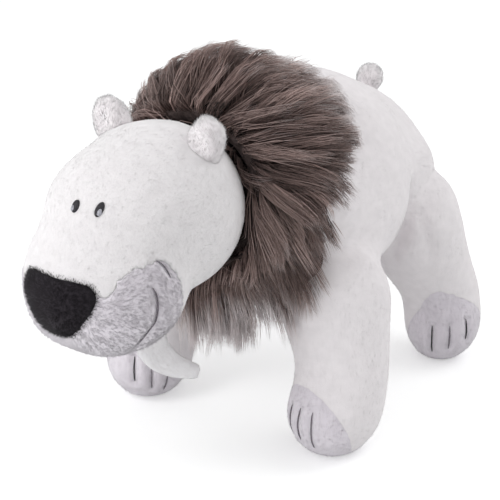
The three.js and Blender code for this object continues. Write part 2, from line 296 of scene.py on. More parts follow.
def averaged(mesh, values, rounds):
    """Values at a mesh's points, each drawn half-way to its neighbours' mean in every round."""
    edges = np.zeros(len(mesh.edges) * 2, np.int32)
    mesh.edges.foreach_get("vertices", edges)
    a, b = edges.reshape(-1, 2).T
    count = len(mesh.vertices)
    degree = np.maximum(np.bincount(a, minlength=count) + np.bincount(b, minlength=count), 1)
    values = np.array(values, float).reshape(count, -1)
    for _ in range(rounds):
        sums = [np.bincount(a, v[b], count) + np.bincount(b, v[a], count) for v in values.T]
        values += 0.5 * (np.stack(sums, axis=1) / degree[:, None] - values)
    return values


def round_off(obj, rounds):
    """Takes the facets off a mesh and keeps its size: what smoothing took is smoothed and put back."""
    start = points_of(obj.data)
    smooth = averaged(obj.data, start, rounds)
    move_points(obj.data, smooth + averaged(obj.data, start - smooth, rounds))


def make_room(obj):
    """Draws a skin in, so that its pile comes out to the frame's form, but not off the floor."""
    co = points_of(obj.data)
    share = rise(co[:, 2:3], SOLE_FLAT, SOLE_RISE)
    move_points(obj.data, co - normals_of(obj.data) * PILE_DEPTH * share)


def bell(far, reach):
    """One at nothing, falling to nothing about two reaches away."""
    return np.exp(-((far / reach) ** 2))


def swell(obj, spots):
    """Fills a skin out around places on both sides."""
    co, normals = points_of(obj.data), normals_of(obj.data)
    for (x, y, z), reach, height in spots:
        sides = ((x, y, z), (-x, y, z)) if x else ((x, y, z),)
        for place in sides:
            share = bell(np.linalg.norm(co - place, axis=1), reach)
            co += normals * height * share[:, None]
    co[:, 2] = np.maximum(co[:, 2], FLOOR_GAP)
    move_points(obj.data, co)


def fill_hollows(obj, place, reach):
    """Rounds a skin over the hollow around a place on the left side, and on the right side."""
    co = points_of(obj.data)
    smooth = averaged(obj.data, co, HOLLOW_ROUNDS)
    for middle in (place, place * np.array((-1, 1, 1))):
        share = bell(np.linalg.norm(co - middle, axis=1), reach)[:, None]
        co += (smooth - co) * share
    move_points(obj.data, co)


def tree_of(*meshes):
    co, faces, first = [], [], 0
    for mesh in meshes:
        points = points_of(mesh)
        co.extend(map(tuple, points))
        faces.extend(tuple(first + v for v in polygon.vertices) for polygon in mesh.polygons)
        first += len(points)
    return BVHTree.FromPolygons(co, faces)


def far_from(co, node):
    """How far each point is from a node of the frame."""
    tree = tree_of(NODES[node].data)
    return np.array([tree.find_nearest(Vector(point))[3] for point in co])


def along(points, step=0.0012):
    """A smooth line through a few points, as many close ones."""
    points = np.array(points, float)
    padded = np.vstack([2 * points[0] - points[1], points, 2 * points[-1] - points[-2]])
    found = []
    for i in range(len(points) - 1):
        p0, p1, p2, p3 = padded[i : i + 4]
        count = max(2, int(np.linalg.norm(p2 - p1) / step))
        t = np.linspace(0, 1, count, endpoint=False)[:, None]
        curve = 2 * p1 + (p2 - p0) * t + (2 * p0 - 5 * p1 + 4 * p2 - p3) * t**2
        found.append(0.5 * (curve + (3 * p1 - p0 - 3 * p2 + p3) * t**3))
    return np.vstack([*found, points[-1:]])


def mirrored(points):
    return [(-x, y, z) for x, y, z in points]


def groove(obj, line, depth, width):
    """Presses a groove along a line."""
    co = points_of(obj.data)
    near = np.all((co > line.min(0) - 3 * width) & (co < line.max(0) + 3 * width), axis=1)
    if near.any():
        gap = np.min(np.linalg.norm(co[near][:, None, :] - line[None, :, :], axis=2), axis=1)
        push = bell(gap, width)[:, None] * depth
        co[near] -= normals_of(obj.data)[near] * push
        move_points(obj.data, co)


def creased(obj, creases):
    for side in (list, mirrored):
        for line, depth, width in creases:
            groove(obj, along(side(line)), depth, width)


def parted(obj, values, name):
    """Cuts a mesh where the values change sign, and gives the part below zero as a new object."""
    bm = bmesh.new()
    bm.from_mesh(obj.data)
    bm.verts.ensure_lookup_table()
    level = {v: (x if abs(x) > 1e-9 else 1e-9) for v, x in zip(bm.verts, values)}
    for edge in [e for e in bm.edges if level[e.verts[0]] * level[e.verts[1]] < 0]:
        a, b = edge.verts
        share = level[a] / (level[a] - level[b])
        level[bmesh.utils.edge_split(edge, a, share)[1]] = 0.0
    for face in list(bm.faces):
        cuts = [v for v in face.verts if level[v] == 0.0]
        if len(cuts) == 2 and min(map(level.get, face.verts)) < 0 < max(map(level.get, face.verts)):
            bmesh.utils.face_split(face, cuts[0], cuts[1])
    bm.faces.index_update()
    below = {f.index for f in bm.faces if sum(level[v] for v in f.verts) < 0}
    part = linked(name, bpy.data.meshes.new(name))
    for target, keep in ((part, True), (obj, False)):
        copy = bm.copy()
        copy.faces.ensure_lookup_table()
        gone = [f for f in copy.faces if (f.index in below) != keep]
        bmesh.ops.delete(copy, geom=gone, context="FACES")
        copy.to_mesh(target.data)
        copy.free()
    bm.free()
    return part


def backed(obj, whole=None):
    """Gives a skin the thickness of its cloth, inwards.

    Its outer side is shaded like the whole skin that it was parted from, so that no line shows
    where two skins meet.
    """
    modifier = obj.modifiers.new("cloth", "SOLIDIFY")
    modifier.thickness = CLOTH
    modifier.offset = -1
    modifier.use_even_offset = False
    apply_modifiers(obj)
    if whole:
        normals = normals_of(obj.data)
        for i, point in enumerate(points_of(obj.data)):
            found, _, face, far = whole["tree"].find_nearest(Vector(point))
            corners = whole["faces"][face]
            weight = 1 / (np.linalg.norm(whole["co"][corners] - np.array(found), axis=1) + 1e-5)
            normal = weight @ whole["normals"][corners]
            normals[i] = normal / np.linalg.norm(normal) * (1 if far < CLOTH / 2 else -1)
        obj.data.normals_split_custom_set_from_vertices(normals.astype(np.float32))


def whole_of(obj):
    mesh = obj.data
    return {
        "tree": tree_of(mesh),
        "faces": [list(face.vertices) for face in mesh.polygons],
        "co": points_of(mesh),
        "normals": normals_of(mesh),
    }


def waves(points, size, seed):
    """Noise: a few waves in random directions, as three numbers for each point."""
    rng = np.random.default_rng(seed)
    total = np.zeros((len(points), 3))
    for _ in range(7):
        heading = unit(rng.normal(size=3)) * (2 * math.pi / size) * rng.uniform(0.6, 1.6)
        total += np.sin(points @ heading + rng.uniform(0, 2 * math.pi))[:, None] * rng.normal(size=3)
    return total / 3.5


# Materials
def feed(tree, node, inputs):
    """Gives inputs of a node a link or a value."""
    for name, value in inputs.items():
        if isinstance(value, bpy.types.NodeSocket):
            tree.links.new(value, node.inputs[name])
        else:
            node.inputs[name].default_value = value


def add_node(tree, kind, inputs, **settings):
    node = tree.nodes.new(f"ShaderNode{kind}")
    for name, value in settings.items():
        setattr(node, name, value)
    feed(tree, node, inputs)
    return node.outputs


def material(name, colour, roughness, build, sheen=0.0, glow=0.0, shine=0.25):
    """A finish, coloured and given its relief by what build adds to it.

    Sheen is the soft brightness of fibres seen from the side, glow the share of light that passes
    a little way through them, and shine how strongly they mirror a lamp.
    """
    made = bpy.data.materials.new(name)
    made.use_nodes = True
    shader = made.node_tree.nodes["Principled BSDF"]
    inputs = {"Base Color": (*colour, 1), "Roughness": roughness, "Specular IOR Level": shine}
    if sheen:
        inputs |= {"Sheen Weight": sheen, "Sheen Roughness": 0.5}
    if glow:
        inputs |= {"Subsurface Weight": glow, "Subsurface Radius": (1, 1, 1)}
        inputs["Subsurface Scale"] = 0.0025
    feed(made.node_tree, shader, inputs)
    build(made.node_tree, shader)
    return made


def ramp(tree, stops, source):
    node = tree.nodes.new("ShaderNodeValToRGB")
    elements = node.color_ramp.elements
    while len(elements) < len(stops):
        elements.new(0.5)
    for element, (place, colour) in zip(elements, stops):
        element.position = place
        element.color = (*colour, 1)
    tree.links.new(source, node.inputs["Fac"])
    return node.outputs["Color"]


def noise(tree, size):
    place = add_node(tree, "TexCoord", {})["Object"]
    return add_node(tree, "TexNoise", {"Scale": 1 / size, "Detail": 3.0, "Vector": place})["Fac"]


def scaled(colour, factor):
    return tuple(channel * factor for channel in colour)


def mottled(tones, patch, grain, strength, depth, ends=(0.3, 0.7)):
    """Two tones in patches of one size, under a relief with a grain of another size.

    The ends are where the noise gives each tone unmixed.
    """

    def build(tree, shader):
        tone = ramp(tree, list(zip(ends, tones)), noise(tree, patch))
        relief = {"Strength": strength, "Distance": depth, "Height": noise(tree, grain)}
        normal = add_node(tree, "Bump", relief)["Normal"]
        feed(tree, shader, {"Base Color": tone, "Normal": normal})

    return build


def stitched(colour):
    tones = (scaled(colour, 0.6), scaled(colour, 1.5))
    return mottled(tones, 0.0007, 0.0005, 0.6, 0.0003, (0.35, 0.65))


def hair_place(tree):
    """What a hair's map holds: its lock's shade across, and the way from root to tip along."""
    uv = add_node(tree, "UVMap", {}, uv_map="OFBake")["UV"]
    split = add_node(tree, "SeparateXYZ", {"Vector": uv})
    return split["X"], split["Y"]


def mixed(tree, shader, first, second, factor=1.0, blend="MIX"):
    """Colours a finish with a mixture of two colours."""
    inputs = {"Factor": factor, "A": first, "B": second}
    mixture = add_node(tree, "Mix", inputs, data_type="RGBA", blend_type=blend)
    feed(tree, shader, {"Base Color": mixture["Result"]})


def pile_tones_and_root_shade(colour, root, dark):
    """Hair is darker at the root, by a share of its colour that is painted shade, and the darkest locks by another
    share.
    """

    def build(tree, shader):
        shade, place = hair_place(tree)
        stops = [(0.0, scaled(colour, root)), (0.45, scaled(colour, (1 + root) / 2)), (1.0, colour)]
        lock = [(0.0, (dark,) * 3), (1.0, (1.0,) * 3)]
        mixed(tree, shader, ramp(tree, stops, place), ramp(tree, lock, shade), blend="MULTIPLY")

    return build


def mane_tones_and_root_shade(tree, shader):
    """Dark at the root with painted shade, taupe along the hair and pale at its tip, from lock to lock."""
    shade, place = hair_place(tree)
    mixed(tree, shader, ramp(tree, DARK_LOCK_AND_ROOT_SHADE, place), ramp(tree, PALE_LOCK_AND_ROOT_SHADE, place), shade)


def plush(name, colour, root, dark, glow, cloth_glow):
    """A plush: its cloth, and the pile on it, with painted shade at the pile's roots."""
    cloth = mottled((scaled(colour, 0.94), colour), 0.006, 0.0012, 0.15, 0.0004)
    return {
        "skin": material(f"{name}_cloth", colour, 0.95, cloth, 0.1, cloth_glow),
        "pile": material(f"{name}_pile", colour, 0.95, pile_tones_and_root_shade(colour, root, dark), 0.1, glow),
    }


# The third number of each plush is the share of colour left at a hair's root: painted shade
WHITE_PLUSH = plush("white_plush", WHITE, 0.98, 0.985, 0.5, 0.12)
SOFT_PLUSH = plush("soft_white_plush", WHITE, 0.98, 0.985, 0.5, 0.9)
GREY_PLUSH = plush("grey_plush", GREY, 0.88, 0.90, 0.35, 0.6)
BLACK_PLUSH = plush("black_plush", BLACK, 0.6, 0.5, 0.0, 0.0)
THREAD_FINISH = material("dark_thread", THREAD, 0.5, stitched(THREAD))
STITCH_AND_SHADOW_FINISH = material("stitch_and_shadow_thread", STITCH_AND_SHADOW_GREY, 0.8, stitched(STITCH_AND_SHADOW_GREY))
GLINT_FINISH = material("pale_thread", GLINT, 0.5, stitched(GLINT))
NAP = mottled(NAP_TONES, 0.008, 0.0009, 0.35, 0.0004)
NAP_FINISH = material("smooth_white_cloth", (0.9, 0.885, 0.9), 0.9, NAP, 0.2)
# The mane's undercoat: painted shade deep in the hair
SHADED_WOOL = mottled(UNDERCOAT_SHADE_TONES, 0.004, 0.002, 0.8, 0.002, (0.35, 0.65))
SHADED_UNDERCOAT = material("mane_shaded_undercoat", (0.05, 0.038, 0.036), 0.9, SHADED_WOOL)
MANE_FUR = material("mane_fur", (0.16, 0.12, 0.12), 0.42, mane_tones_and_root_shade, 0.06, shine=0.3)


def wear(obj, finish):
    obj.data.materials.clear()
    obj.data.materials.append(finish)


def closed(name, co, faces, finish):
    """A closed mesh as an object, with its faces turned outwards."""
    mesh = mesh_from(name, np.array(co), faces)
    bm = bmesh.new()
    bm.from_mesh(mesh)
    bmesh.ops.recalc_face_normals(bm, faces=bm.faces)
    bm.to_mesh(mesh)
    bm.free()
    obj = linked(name, mesh)
    wear(obj, finish)
    return obj


# Fur
def scattered(mesh, per_mm2, rng):
    """Random places on a mesh, evenly by area, with the surface's normals there."""
    mesh.calc_loop_triangles()
    count = len(mesh.loop_triangles)
    corners = np.zeros(count * 3, np.int32)
    mesh.loop_triangles.foreach_get("vertices", corners)
    corners = corners.reshape(-1, 3)
    co, normals = points_of(mesh), normals_of(mesh)
    a, b, c = (co[corners[:, k]] for k in range(3))
    area = np.linalg.norm(np.cross(b - a, c - a), axis=1) / 2
    total = int(area.sum() * 1e6 * per_mm2)
    chosen = rng.choice(count, total, p=area / area.sum())
    u, v = rng.random(total), rng.random(total)
    flip = u + v > 1
    u[flip], v[flip] = 1 - u[flip], 1 - v[flip]
    shares = np.stack([1 - u - v, u, v], axis=1)[:, :, None]
    places = (co[corners[chosen]] * shares).sum(1)
    return places, unit((normals[corners[chosen]] * shares).sum(1))


def strands(name, paths, radii, shades, finish, facing=None, start=0.0, reach=1.0):
    """Closed strands of three sides, each a path of points with a radius at all but its tip.

    The shade goes across the material's colours, and start and reach are how far along them the
    root and the tip lie.
    """
    count, steps, _ = paths.shape
    heading = unit(np.diff(paths, axis=1))
    side = unit(np.cross(heading, np.array([0.31, 0.52, 0.79])))
    other = np.cross(heading, side)
    corners = []
    for k in range(3):
        turn = 2 * math.pi * k / 3
        corners.append(side * math.cos(turn) + other * math.sin(turn))
    rings = paths[:, :-1, None, :] + np.stack(corners, axis=2) * radii[:, :, None, None]
    co = np.concatenate([rings.reshape(count, -1, 3), paths[:, -1:, :]], axis=1)
    each = co.shape[1]
    pattern = [(0, 2, 1)]
    for ring in range(steps - 2):
        for k in range(3):
            a, b = 3 * ring + k, 3 * ring + (k + 1) % 3
            pattern += [(a, b, b + 3), (a, b + 3, a + 3)]
    last = 3 * (steps - 2)
    pattern += [(last + k, last + (k + 1) % 3, each - 1) for k in range(3)]
    faces = (np.arange(count)[:, None, None] * each + np.array(pattern)[None]).reshape(-1, 3)
    mesh = mesh_from(name, co.reshape(-1, 3), faces)
    along_it = np.append(np.repeat(np.arange(steps - 1), 3), steps - 1) / (steps - 1)
    near, far = (np.broadcast_to(value, count)[:, None] for value in (start, reach))
    far = near + (far - near) * along_it
    uv = np.stack([np.repeat(shades, each), far.ravel()], axis=1)
    layer = mesh.uv_layers.new(name="OFBake")
    layer.data.foreach_set("uv", (0.02 + 0.96 * uv[faces.ravel()]).astype(np.float32).ravel())
    if facing is not None:
        mesh.normals_split_custom_set_from_vertices(np.repeat(facing, each, axis=0).astype(np.float32))
    obj = linked(name, mesh)
    wear(obj, finish)
    return obj


def tangent(vectors, normals):
    return vectors - (vectors * normals).sum(1, keepdims=True) * normals


def combed(heading):
    return lambda places: np.broadcast_to(np.array(heading, float), places.shape)


def pile(name, skin, plush_kind, hair, comb, seed, keep=None, lean=3.2, core=None):
    """Short fur on a skin: it leans the way that it is combed, stirred by waves.

    With a core, the hair is shaded as if it stood away from that point.
    """
    per_mm2, length, width = hair
    rng = np.random.default_rng(seed)
    places, normals = scattered(skin.data, per_mm2, rng)
    if keep is not None:
        kept = keep(places)
        places, normals = places[kept], normals[kept]
    count = len(places)
    way = comb(places)
    for share, size, wave_seed in RUFFLES:
        way = way + share * waves(places, size, wave_seed)
    way = unit(tangent(way, normals))
    heading = unit(normals + lean * way + rng.normal(scale=0.12 * lean, size=(count, 3)))
    reach = length * rng.uniform(0.65, 1.2, count)[:, None]
    roots = places - normals * 0.0003
    paths = np.stack([roots, roots + heading * reach], axis=1)
    radii = (width * rng.uniform(0.7, 1.2, count))[:, None]
    shades = 0.55 + 0.3 * waves(places, 0.012, 7)[:, 0] + rng.normal(scale=0.12, size=count)
    facing = unit(normals + 0.1 * heading)
    if core is not None:
        facing = unit(facing + 1.1 * unit(places - core))
    return strands(name, paths, radii, np.clip(shades, 0, 1), plush_kind["pile"], facing)


def attach(pieces, body):
    """Lets pieces ride on a body."""
    for piece in pieces:
        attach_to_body(piece, body)


def bend(pieces):
    """Keeps pieces where they stand, with their placement baked into their meshes."""
    for piece in pieces:
        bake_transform(piece)


# Body: torso and legs as one smooth skin, then parted at the seams
body_nodes = ["torso_cover", "torso_stuffing"]
body_nodes += [f"{leg}_{part}" for leg in LEGS for part in ("leg_cover", "paw", "leg_stuffing")]
skin = remeshed("torso_skin", body_nodes, BODY_VOXEL, 34)
co = points_of(skin.data)
co[:, 2] = np.maximum(co[:, 2], FLOOR_GAP)
move_points(skin.data, co)
make_room(skin)
fill_hollows(skin, SHOULDER_HOLLOW, HOLLOW_REACH)
swell(skin, BODY_SWELLS)
smooth_body = tree_of(skin.data)


def ahead(degrees):
    """The way that a heading in degrees points, turned from straight ahead to the toy's left."""
    return np.array([math.sin(math.radians(degrees)), -math.cos(math.radians(degrees)), 0.0])


def above_cap(co, leg):
    """How high each point lies over the edge of a paw's grey cap."""
    heading, height, slope = CAPS[leg.split("_")[0]]
    out = ahead(heading if leg.endswith("left") else -heading)
    edge = height + slope * ((co - SOLES[leg]) @ out)
    return co[:, 2] - np.maximum(edge, CAP_SOLE)


def toe_lines(leg):
    """The lines of a paw's toe stitches, found by looking at its middle from outside."""
    middle, step, spans = TOES[leg]
    lines = []
    for k, (top, bottom, _) in enumerate(spans):
        out = ahead(middle + (k - 1) * step)
        line = []
        for height in np.linspace(top, bottom, 6):
            start = SOLES[leg] + out * 0.12 + (0, 0, height)
            found = smooth_body.ray_cast(Vector(start), Vector(-out))[0]
            if found is not None:
                line.append(tuple(found))
        lines.append(along(line))
    return lines


TOE_LINES = {leg: toe_lines(leg) for leg in LEGS}
for leg in LEGS:
    for line, (_, _, dark) in zip(TOE_LINES[leg], TOES[leg][2]):
        groove(skin, line, 0.0010 + 0.0012 * dark, 0.0026)
creased(skin, BODY_CREASES)

whole_body = whole_of(skin)
parts = {}
for leg in LEGS:
    co = points_of(skin.data)
    leg_far = np.minimum(far_from(co, f"{leg}_leg_cover"), far_from(co, f"{leg}_paw"))
    toward_leg = averaged(skin.data, leg_far - far_from(co, "torso_cover"), 3)[:, 0]
    parts[leg] = parted(skin, np.maximum(toward_leg, co[:, 2] - LEG_BEND[0]), f"{leg}_leg_skin")
    co = points_of(parts[leg].data)
    uneven = 0.0005 * waves(co, 0.006, 23)[:, 0]
    cap = averaged(parts[leg].data, above_cap(co, leg), 3)[:, 0] + uneven
    parts[leg + "_paw"] = parted(parts[leg], cap, f"{leg}_paw_skin")
parts["torso"] = skin
parts["neck"] = parted(skin, points_of(skin.data)[:, 1] - NECK_END, "neck_skin")

DOWN = combed((0, 0.15, -0.5))
BACK = combed((0, 0.55, -0.25))


def mane_room(places):
    """How far a place lies inside the edge of the mane's hair."""
    back = np.interp(places[:, 2], *np.transpose(MANE_REACH)) - places[:, 1]
    low = FRINGE_LOW + FRINGE_RISE * (np.abs(places[:, 0]) / FRINGE_SIDE) ** 1.5
    return np.minimum(back, places[:, 2] - low)


def mane_spread(places):
    return np.interp(places[:, 2], *np.transpose(MANE_SPREAD))


def outside_mane(places):
    return mane_room(places) < 0.4 * mane_spread(places)


def above_floor(places):
    return places[:, 2] > 0.0035


def add_leg(leg, seed):
    skins = {"leg": (parts[leg], WHITE_PLUSH), "paw": (parts[leg + "_paw"], GREY_PLUSH)}
    for k, (part, (piece, kind)) in enumerate(skins.items()):
        wear(piece, kind["skin"])
        fur = pile(f"{leg}_{part}_pile", piece, kind, HAIR[part], DOWN, seed + k, above_floor)
        backed(piece, whole_body)
        if part == "leg":
            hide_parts(f"{leg}_leg_cover", f"{leg}_leg_stuffing")
            bend((piece, fur))
        else:
            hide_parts(f"{leg}_paw")
            attach((piece, fur), f"{leg}_leg")


for k, leg in enumerate(LEGS):
    add_leg(leg, 100 + 10 * k)

wear(parts["torso"], WHITE_PLUSH["skin"])
torso_fur = pile("torso_pile", parts["torso"], WHITE_PLUSH, HAIR["torso"], BACK, 90, outside_mane)
wear(parts["neck"], SHADED_UNDERCOAT)
neck_mesh = parts["neck"].data.copy()
skin_mesh = parts["torso"].data.copy()
for part, slot in (("torso", "white_plush"), ("neck", "taupe_fur")):
    backed(parts[part], whole_body)
    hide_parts("torso_cover", "torso_stuffing")
    attach((parts[part],), "torso")
attach((torso_fur,), "torso")

# Head
head = remeshed("head_skin", ["head_cover", "muzzle_panel", "head_stuffing"], HEAD_VOXEL, 14)
make_room(head)
swell(head, HEAD_SWELLS)
move_points(head.data, points_of(head.data) + HEAD_SHIFT)
smooth_head = tree_of(head.data)
creased(head, HEAD_CREASES)
head_tree = tree_of(head.data)


def facing_point(x, z):
    """The head's surface straight behind a place in front of the face."""
    found, normal, _, _ = head_tree.ray_cast(Vector((x, -0.3, z)), Vector((0, 1, 0)))
    return np.array(found), np.array(normal)


def pad(name, outline, dome, finish, rings=7, sink=0.001):
    """A domed pad on the face, inside an outline of [x, z] points, with its rim sunk in."""
    outline = np.array(outline)
    middle = outline.mean(0)
    co, faces, count = [], [], len(outline)
    for ring in range(rings + 1):
        share = ring / rings
        for x, z in middle + (outline - middle) * share if ring else [middle]:
            place, normal = facing_point(x, z)
            co.append(place + normal * (dome * math.sqrt(max(0.0, 1 - share**2)) - sink * (ring == rings)))
    for k in range(count):
        faces.append((0, 1 + k, 1 + (k + 1) % count))
    for ring in range(rings - 1):
        for k in range(count):
            a, b = 1 + ring * count + k, 1 + ring * count + (k + 1) % count
            faces += [(a, a + count, b + count), (a, b + count, b)]
    back = len(co)
    co.append(np.mean(co[-count:], axis=0) + (0, 0.003, 0))
    first = back - count
    faces += [(back, first + (k + 1) % count, first + k) for k in range(count)]
    return closed(name, co, faces, finish)


# The nose's right half, as [x, z] points from its top to its bottom
NOSE_EDGE = [
    (0.0000, 0.1545), (0.0140, 0.1544), (0.0226, 0.1525), (0.0262, 0.1475), (0.0252, 0.1410),
    (0.0204, 0.1330), (0.0145, 0.1255), (0.0080, 0.1204), (0.0000, 0.1188),
]
NOSE_SIDE = -0.0032  # the nose sits this far to the toy's right


def nose_outline():
    half = along([(x, 0, z) for x, z in NOSE_EDGE], 0.002)
    right = [(NOSE_SIDE + x, z) for x, _, z in half]
    left = [(NOSE_SIDE - x, z) for x, _, z in half[-2:0:-1]]
    return right + left


nose = pad("nose_pad", nose_outline(), 0.0036, BLACK_PLUSH["skin"])


def oval(x, z, width, height, count=28):
    """An oval that leans a little outwards at the top, as [x, z] points."""
    found = []
    for k in range(count):
        a = 2 * math.pi * k / count
        u, v = width / 2 * math.cos(a), height / 2 * math.sin(a)
        found.append((x + u + 0.05 * v, z + v))
    return found


# Eyes: how far each is moved sideways and up, and its shares of the frame's width and height
EYES = {"left": (0.0015, 0.0013, 0.90, 0.92), "right": (0.0042, 0.0007, 0.90, 0.80)}
# Their glints: how far out and down each lies, its width and its height, as shares of the eye's
EYE_GLINT = (0.16, 0.17, 0.56, 0.54)
EYE_FROM_FRONT = {}
for side, name in ((1, "left"), (-1, "right")):
    low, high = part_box(f"eye_{name}")
    out, up, wide, tall = EYES[name]
    x, z = (low.x + high.x) / 2 + out, (low.z + high.z) / 2 + up
    width, height = (high.x - low.x) * wide, (high.z - low.z) * tall
    EYE_FROM_FRONT[name] = (x, z)
    eye = pad(f"eye_{name}_stitching", oval(x, z, width, height), 0.0014, THREAD_FINISH)
    out, down, wide, tall = EYE_GLINT
    shine = oval(x + side * out * width, z - down * height, wide * width, tall * height, 18)
    glint = pad(f"eye_{name}_glint", shine, 0.0019, GLINT_FINISH, 4)
    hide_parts(f"eye_{name}")
    attach((eye, glint), "head")

# The grey panel's edge keeps to the frame's seam, with these places moved towards the grey, or
# away from it: how far from the middle and how high each is, its reach both ways, and the move
PANEL_MOVES = [
    ((0.0335, 0.1570), (0.0060, 0.0070), -0.0026),
    ((0.0255, 0.1500), (0.0060, 0.0070), 0.0045),
]
PANEL_TOP = 0.1605  # the panel is cut short above this height
SEAM_PLACE = (0.0414, 0.1602)  # a point of the cheek's seam; beyond the seam all is white
SEAM_OUT = (0.91, 0.41)  # the way out across it


def panel_edge(co):
    """How far each point of the head lies outside the grey panel."""
    panel_far = far_from(co, "muzzle_panel") - far_from(co, "head_cover")
    x, y, z = co.T
    cheek = np.abs(x)
    ragged = 0.0008 * waves(co, 0.006, 21)[:, 0] + 0.0009 * waves(co, 0.0025, 22)[:, 0]
    ragged += 0.0050 * rise(z, PANEL_TOP, 0.004) * rise(cheek, 0.030, 0.004)
    for (side, level), (wide, tall), move in PANEL_MOVES:
        ragged += move * bell(np.hypot((cheek - side) / wide, (z - level) / tall), 1)
    beyond_seam = SEAM_OUT[0] * (cheek - SEAM_PLACE[0]) + SEAM_OUT[1] * (z - SEAM_PLACE[1])
    ragged += 0.012 * rise(beyond_seam, 0, 0.002) * rise(z, 0.1500, 0.004)
    # On the far side of the nose the cloth is white
    beside_nose = rise(x, -0.016, -0.006) * rise(z, 0.143, 0.006)
    ragged += 0.030 * beside_nose * rise(y, -0.150, -0.008)
    return averaged(head.data, panel_far, 8)[:, 0] + ragged


muzzle = parted(head, panel_edge(points_of(head.data)), "muzzle_skin")


def clear_of_face(places):
    """Keeps hair off the eyes and the nose."""
    front = places[:, 1] < SKULL[1]
    free = np.ones(len(places), bool)
    for x, z in EYE_FROM_FRONT.values():
        apart = np.hypot((places[:, 0] - x) / 0.0033, (places[:, 2] - z) / 0.0046)
        free &= ~(front & (apart < 1))
    heights = [z for _, z in reversed(NOSE_EDGE)]
    reach = np.interp(places[:, 2], heights, [x for x, _ in reversed(NOSE_EDGE)], 0, 0)
    free &= ~(front & (np.abs(places[:, 0] - NOSE_SIDE) < reach - 0.0012))
    return free


def head_comb(places):
    """Fur on a head lies away from the nose."""
    away = places - np.array([0.0, SKULL[1] - 0.10, SKULL[2] - 0.02])
    return unit(away) * 0.6


def nose_comb(places):
    """Fur on the nose lies up and outwards."""
    away = places - np.array([NOSE_SIDE, 0.0, 0.128])
    away[:, 1] = 0
    return unit(away)


wear(head, SOFT_PLUSH["skin"])
wear(muzzle, GREY_PLUSH["skin"])
head_fur = pile("head_pile", head, WHITE_PLUSH, HAIR["head"], head_comb, 31, clear_of_face)
muzzle_fur = pile("muzzle_pile", muzzle, GREY_PLUSH, HAIR["muzzle"], head_comb, 32, clear_of_face, 2.2)
nose_fur = pile("nose_pile", nose, BLACK_PLUSH, HAIR["nose"], nose_comb, 33, lean=0.8)
for piece in (head, muzzle):
    backed(piece)
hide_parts("head_cover", "head_stuffing")
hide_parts("muzzle_panel")
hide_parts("nose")
attach((head, head_fur), "head")
attach((muzzle, muzzle_fur), "head")
attach((nose, nose_fur), "head")

THREAD_SIDES = 6


def thread(name, line, tree, radius, height, finish, body):
    """A thread along a line, this high over the surface, thinner at its ends."""
    places = []
    for point in line:
        found, normal, _, _ = tree.find_nearest(Vector(point))
        places.append((np.array(found) + np.array(normal) * height, np.array(normal)))
    count = len(places)
    co = []
    for i, (place, normal) in enumerate(places):
        onward = unit(places[min(i + 1, count - 1)][0] - places[max(i - 1, 0)][0])
        side = np.cross(onward, normal)
        thin = radius * math.sqrt(max(0.12, 1 - (2 * i / (count - 1) - 1) ** 6))
        for k in range(THREAD_SIDES):
            a = 2 * math.pi * k / THREAD_SIDES
            co.append(place + (side * math.cos(a) + normal * math.sin(a)) * thin)
    faces = []
    for i in range(count - 1):
        for k in range(THREAD_SIDES):
            a, b = i * THREAD_SIDES + k, i * THREAD_SIDES + (k + 1) % THREAD_SIDES
            faces += [(a, b + THREAD_SIDES, b), (a, a + THREAD_SIDES, b + THREAD_SIDES)]
    last = (count - 1) * THREAD_SIDES
    for k in range(1, THREAD_SIDES - 1):
        faces += [(0, k, k + 1), (last, last + k + 1, last + k)]
    attach((closed(name, co, faces, finish),), body)


for leg in LEGS:
    for k, (line, (_, _, dark)) in enumerate(zip(TOE_LINES[leg], TOES[leg][2])):
        finish = THREAD_FINISH if dark > 0.6 else STITCH_AND_SHADOW_FINISH
        name, height = f"{leg}_toe_stitch_{k + 1}", -0.0006 - 0.0006 * dark
        thread(name, line, smooth_body, 0.00045, height, finish, f"{leg}_leg")
# Grey threads sunk in the mouth and smile creases: painted shadow along them
for side, name in ((list, "left"), (mirrored, "right")):
    thread(f"mouth_crease_shadow_{name}", along(side(MOUTH)), smooth_head, 0.0005, -0.0022, STITCH_AND_SHADOW_FINISH, "head")
    thread(f"smile_crease_shadow_{name}", along(side(SMILE[1:])), smooth_head, 0.0004, -0.0012, STITCH_AND_SHADOW_FINISH, "head")

# Ears: their size as shares of the frame's, and how far they are drawn in to the skull low down
EAR_FULLNESS = (0.97, 1.25, 1.10)
EAR_DRAWN_IN = 0.0075

for side, name in ((1, "left"), (-1, "right")):
    node = f"ear_{name}"
    ear = remeshed(f"{node}_skin", [node], SMALL_VOXEL, 14)
    make_room(ear)
    middle = points_of(ear.data).mean(0)
    co = middle + (points_of(ear.data) - middle) * EAR_FULLNESS
    co += normals_of(ear.data) * 0.0009 * waves(co, 0.014, 25 + side)[:, :1]
    hollow = np.exp(-(((co[:, 0] - middle[0]) / 0.0065) ** 2) - ((co[:, 2] - middle[2]) / 0.0080) ** 2)
    co[:, 1] += 0.0012 * hollow * rise(co[:, 1], middle[1], -0.006)
    inwards = unit(SKULL - middle) * EAR_DRAWN_IN
    co += inwards * rise(co[:, 2:3], middle[2] + 0.008, -0.020)
    move_points(ear.data, co + HEAD_SHIFT)
    wear(ear, SOFT_PLUSH["skin"])
    up = combed((0, -0.2, 1))
    fur = pile(f"{node}_pile", ear, WHITE_PLUSH, HAIR["ear"], up, 40 + side, lean=1.9, core=SKULL)
    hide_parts(node)
    bend((ear, fur))

# Tail
tail = remeshed("tail_skin", ["tail"], SMALL_VOXEL, 14)
make_room(tail)
tail_root = np.array(JOINTS["tail_wag"]["pos_m"])
wear(tail, SOFT_PLUSH["skin"])
up = combed((0, 0.7, 0.7))
tail_fur = pile("tail_pile", tail, WHITE_PLUSH, HAIR["tail"], up, 50, lean=1.9, core=SKULL)
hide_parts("tail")
start, end = tail_root + (0, 0.002, 0.004), tail_root + (0, 0.006, 0.011)
bend((tail, tail_fur))

